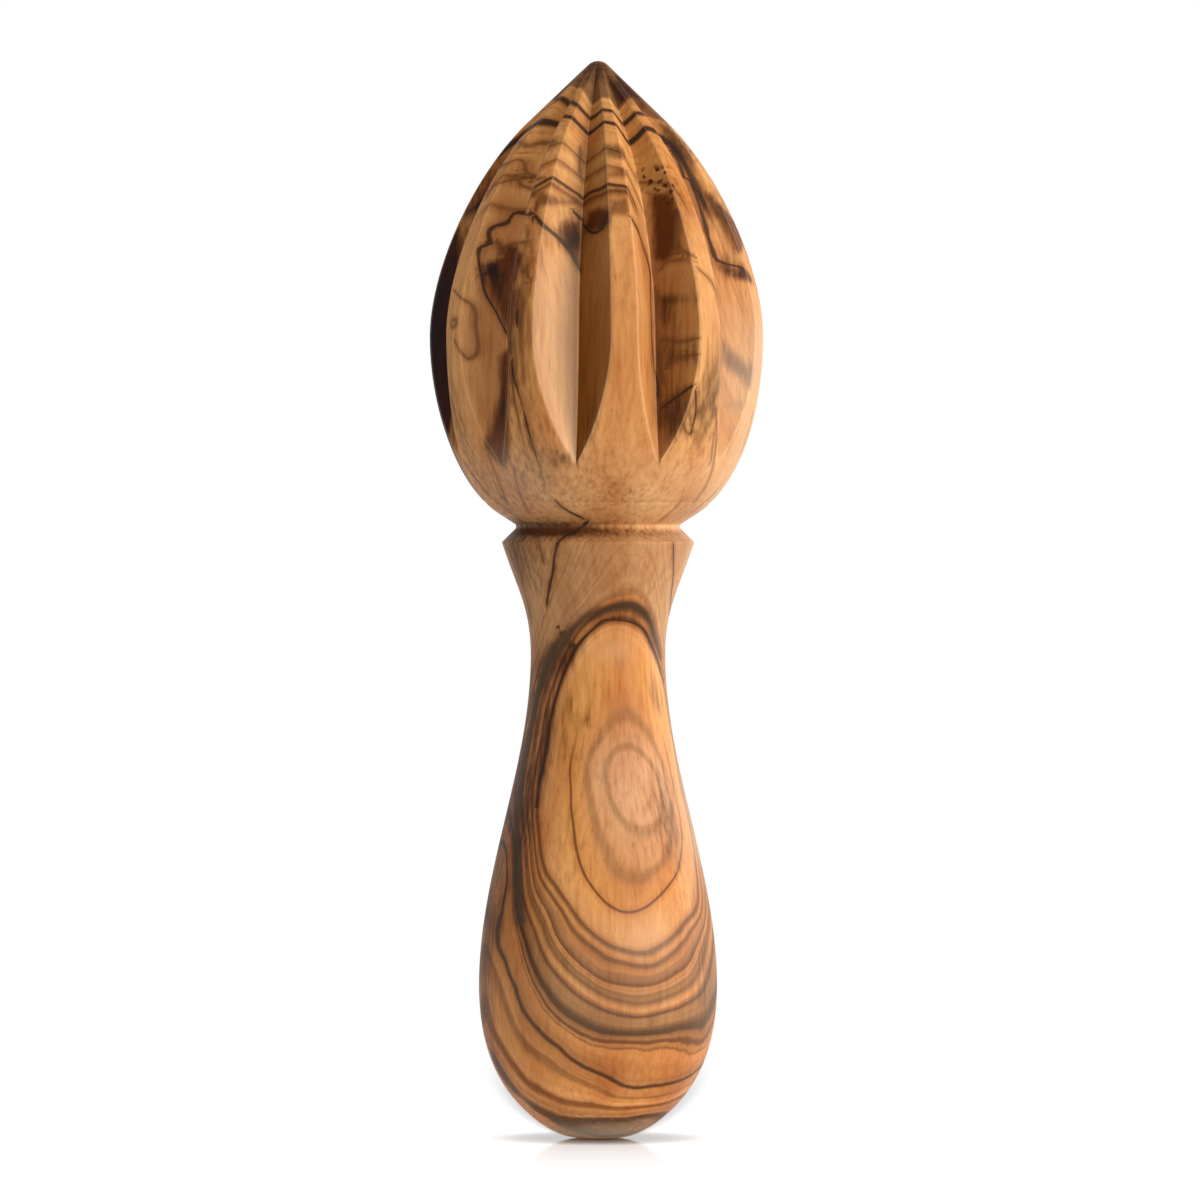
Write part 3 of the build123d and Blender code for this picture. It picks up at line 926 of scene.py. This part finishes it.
colour = painted(colour, (
    (cloud_share, "#CCA070"),
    (line_share, "#9A7452"),
    (mottle_share, "#B89068"),
    (pore_share, "#8A6A4C"),
    (stain_and_sheen_shares[0], "#6E5434"),
    # Partly grey wood, partly painted grey sheen and reflection
    (stain_and_sheen_shares[1], "#888684"),
    (patch_shares[0], "#86662E"),
    (patch_shares[1], "#5E3612"),
    (patch_shares[2], "#AA9E90"),
    # Partly dark heartwood, partly painted shade on the walls that face away from the key lamp
    (heartwood_and_shade_share, "#988046"),
    (eye_share, "#6E543E"),
), "MULTIPLY")

# The single veins are drawn over the rest, each in a faint halo, thicker and thinner along their way
thickness = add("MapRange", {
    "Value": tremble, "From Min": 0.3, "From Max": 0.7, "To Min": 0.5, "To Max": 1.4,
})
for name, blur, halo, strength, vein_colour in (
    ("smears", 1.0, 2.2, 0.82, "#38281A"),
    ("brown_veins", 0.24, 0.9, 0.62, "#5A3818"),
    ("black_veins", 0.13, 0.9, 0.90, "#2C1B0E"),
):
    reading = add("Attribute", attribute_name=name).outputs["Vector"]
    offset, distance, half_width = add("SeparateXYZ", {"Vector": reading}).outputs
    aside = add("Math", {0: wobble, 1: 0.5, 2: offset}, operation="MULTIPLY_ADD")
    aside = add("Math", {0: aside}, operation="ABSOLUTE")
    width = add("Math", {0: half_width, 1: thickness}, operation="MULTIPLY")
    edge = add("Math", {0: width, 1: blur}, operation="ADD")
    core = add("Math", {0: width, 1: 0.5}, operation="MULTIPLY")
    line = add("MapRange", {
        "Value": aside, "From Min": edge, "From Max": core, "To Max": strength,
    }, **smooth)
    halo_edge = add("Math", {0: width, 1: halo}, operation="ADD")
    glow = add("MapRange", {
        "Value": aside, "From Min": halo_edge, "From Max": width, "To Max": 0.35,
    }, **smooth)
    far_end = add("Math", {0: edge, 1: 0.75}, operation="ADD")
    near_end = add("Math", {0: edge, 1: 0.25}, operation="ADD")
    ended = within((distance, far_end, near_end))
    glow = add("Math", {0: glow, 1: ended}, operation="MULTIPLY")
    line = add("Math", {0: line, 1: ended}, operation="MULTIPLY")
    colour = painted(colour, ((glow, "#A87C54"),), "MULTIPLY")
    colour = painted(colour, ((line, vein_colour),))

# A pale coat of painted sheen, highlights and reflection over the wood
painted_sheen_share = add("Attribute", attribute_name="painted_sheen").outputs["Fac"]
pale = add("Math", {0: painted_sheen_share, 1: 0.22}, operation="MULTIPLY")
colour = painted(colour, ((pale, "#F2D8B8"),))

roughness = add("MapRange", {"Value": mottle, "To Min": 0.42, "To Max": 0.56})
grain_depth = add("Math", {0: pore_share, 1: -1.0}, operation="MULTIPLY")
relief = add("Bump", {"Height": grain_depth, "Strength": 0.15, "Distance": 0.00006})
shader = add("BsdfPrincipled", {
    "Base Color": colour,
    "Roughness": roughness,
    "Normal": relief,
    "IOR": 1.5,
    "Specular IOR Level": 0.09,
})
add("OutputMaterial", {"Surface": shader})
body_mesh.materials.append(olive_wood)
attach(body, "root")
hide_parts("reamer")


# The studio: a white, slightly polished table that shows the reamer's contact shadow and a faint
# reflection, white all round it, a large soft lamp at the right and four weaker ones.
white = (1.0, 1.0, 1.0, 1.0)
table_radius = 3.0
table_corners = 96
table_drop = 0.0001
contact_reach = 0.007
own_light = 0.38
turn = np.linspace(0, 2 * pi, table_corners + 1)[:-1]
table_edge = [table_radius * np.cos(turn), table_radius * np.sin(turn), 0 * turn - table_drop]
table_mesh = bpy.data.meshes.new("table")
table_mesh.from_pydata(np.stack(table_edge, 1).tolist(), [], [list(range(table_corners))])
table = bpy.data.objects.new("table", table_mesh)
bpy.context.scene.collection.objects.link(table)


def seen_share():
    """1 for what is seen, straight or in gloss or through glass, and 0 for what lights the rest."""
    rays = add("LightPath").outputs
    seen = rays["Is Camera Ray"]
    for kind in ("Is Glossy Ray", "Is Transmission Ray"):
        seen = add("Math", {0: seen, 1: rays[kind]}, operation="MAXIMUM")
    return seen


# White table paint: dimmed where the reamer stands close over it, white and even further away, and
# polished near the foot. It also glows, though it is no lamp: strongly right under the foot, to light
# the foot from below, and more weakly further out, to light the reamer from below.
table_paint = bpy.data.materials.new("table_paint")
table_paint.use_nodes = True
tree = table_paint.node_tree
tree.nodes.clear()
seen = seen_share()
openness = add("AmbientOcclusion", {"Color": white, "Distance": contact_reach}, samples=16)
openness = add("Math", {0: openness.outputs["AO"], 1: 1.3}, operation="POWER")
openness = add("CombineXYZ", {0: openness, 1: openness, 2: openness})
floor_place = add("TexCoord").outputs["Object"]
floor_away = add("VectorMath", {0: floor_place}, operation="LENGTH")
table_white = add("VectorMath", {0: openness, 1: (0.8, 0.8, 0.8)}, operation="MULTIPLY")
paint = add("BsdfDiffuse", {"Color": table_white})
# The table glows for light rays, strongly right under the foot, so that it lights the foot from below
glow_under_foot = add("MapRange", {
    "Value": floor_away, "From Min": 0.010, "From Max": 0.032, "To Min": 0.8, "To Max": 0.0,
})
table_glow_strength = add("MapRange", {"Value": seen, "To Min": glow_under_foot, "To Max": own_light})
table_glow_colour = add("Mix", {"Factor": seen, 6: white, 7: openness}, data_type="RGBA")
table_glow = add("Emission", {"Color": table_glow_colour, "Strength": table_glow_strength})
near_look = add("AddShader", {0: paint, 1: table_glow})
# Further out the table glows more weakly for light rays, lighting the reamer's underside
far_light = add("MapRange", {"Value": seen, "To Min": 0.45})
far_look = add("Emission", {"Color": white, "Strength": far_light})
far_share = add("MapRange", {"Value": floor_away, "From Min": 0.11, "From Max": 0.22})
floor_look = add("MixShader", {0: far_share, 1: near_look, 2: far_look})
nearness = add("MapRange", {"Value": floor_away, "From Max": 0.20, "To Min": 1.0, "To Max": 0.0})
polish_share = add("Math", {0: nearness, 1: 5.0}, operation="POWER")
polish_share = add("Math", {0: polish_share, 1: 0.62}, operation="MULTIPLY")
polish = add("BsdfGlossy", {"Color": white, "Roughness": 0.09})
polished = add("MixShader", {0: polish_share, 1: floor_look, 2: polish})
add("OutputMaterial", {"Surface": polished})
table_mesh.materials.append(table_paint)

world = bpy.data.worlds.new("studio")
bpy.context.scene.world = world
world.use_nodes = True
tree = world.node_tree
tree.nodes.clear()
strength = add("MapRange", {"Value": seen_share(), "To Min": 0.18})
surround = add("Background", {"Color": white, "Strength": strength})
add("OutputWorld", {"Surface": surround})

# The lamps light the reamer alone, and a low sun in front of it gives the table its shadow
lit_reamer = bpy.data.collections.new("lit_by_the_lamps")
lit_reamer.objects.link(body)
lit_table = bpy.data.collections.new("lit_by_the_sun")
lit_table.objects.link(table)


def lamp_at(name, kind, azimuth_degrees, elevation, power, lit):
    """A lamp 1 m from the middle of the reamer and aimed at it, which lights one collection."""
    middle = Vector((0, 0, total_height * millimetre / 2))
    turn, lift_angle = radians(azimuth_degrees), radians(elevation)
    away = Vector((sin(turn) * cos(lift_angle), -cos(turn) * cos(lift_angle), sin(lift_angle)))
    data = bpy.data.lights.new(name, kind)
    data.energy = power
    lamp = bpy.data.objects.new(name, data)
    lamp.location = middle + away
    lamp.rotation_euler = (-away).to_track_quat("-Z", "Y").to_euler()
    lamp.light_linking.receiver_collection = lit
    bpy.context.scene.collection.objects.link(lamp)
    return data


for name, azimuth_degrees, elevation, size, power in (
    ("key_lamp", 55, 12, 0.5, 9.3),
    ("front_lamp", -6, 10, 0.4, 2.4),
    ("rim_lamp", 108, 8, 0.5, 6.0),
    ("left_lamp", -85, 12, 0.5, 1.2),
    ("top_lamp", 20, 75, 0.6, 1.5),
):
    lamp_at(name, "AREA", azimuth_degrees, elevation, power, lit_reamer).size = size
lamp_at("low_sun", "SUN", 0, 5, 26.0, lit_table).angle = radians(3)

bpy.context.scene.view_settings.view_transform = "Standard"
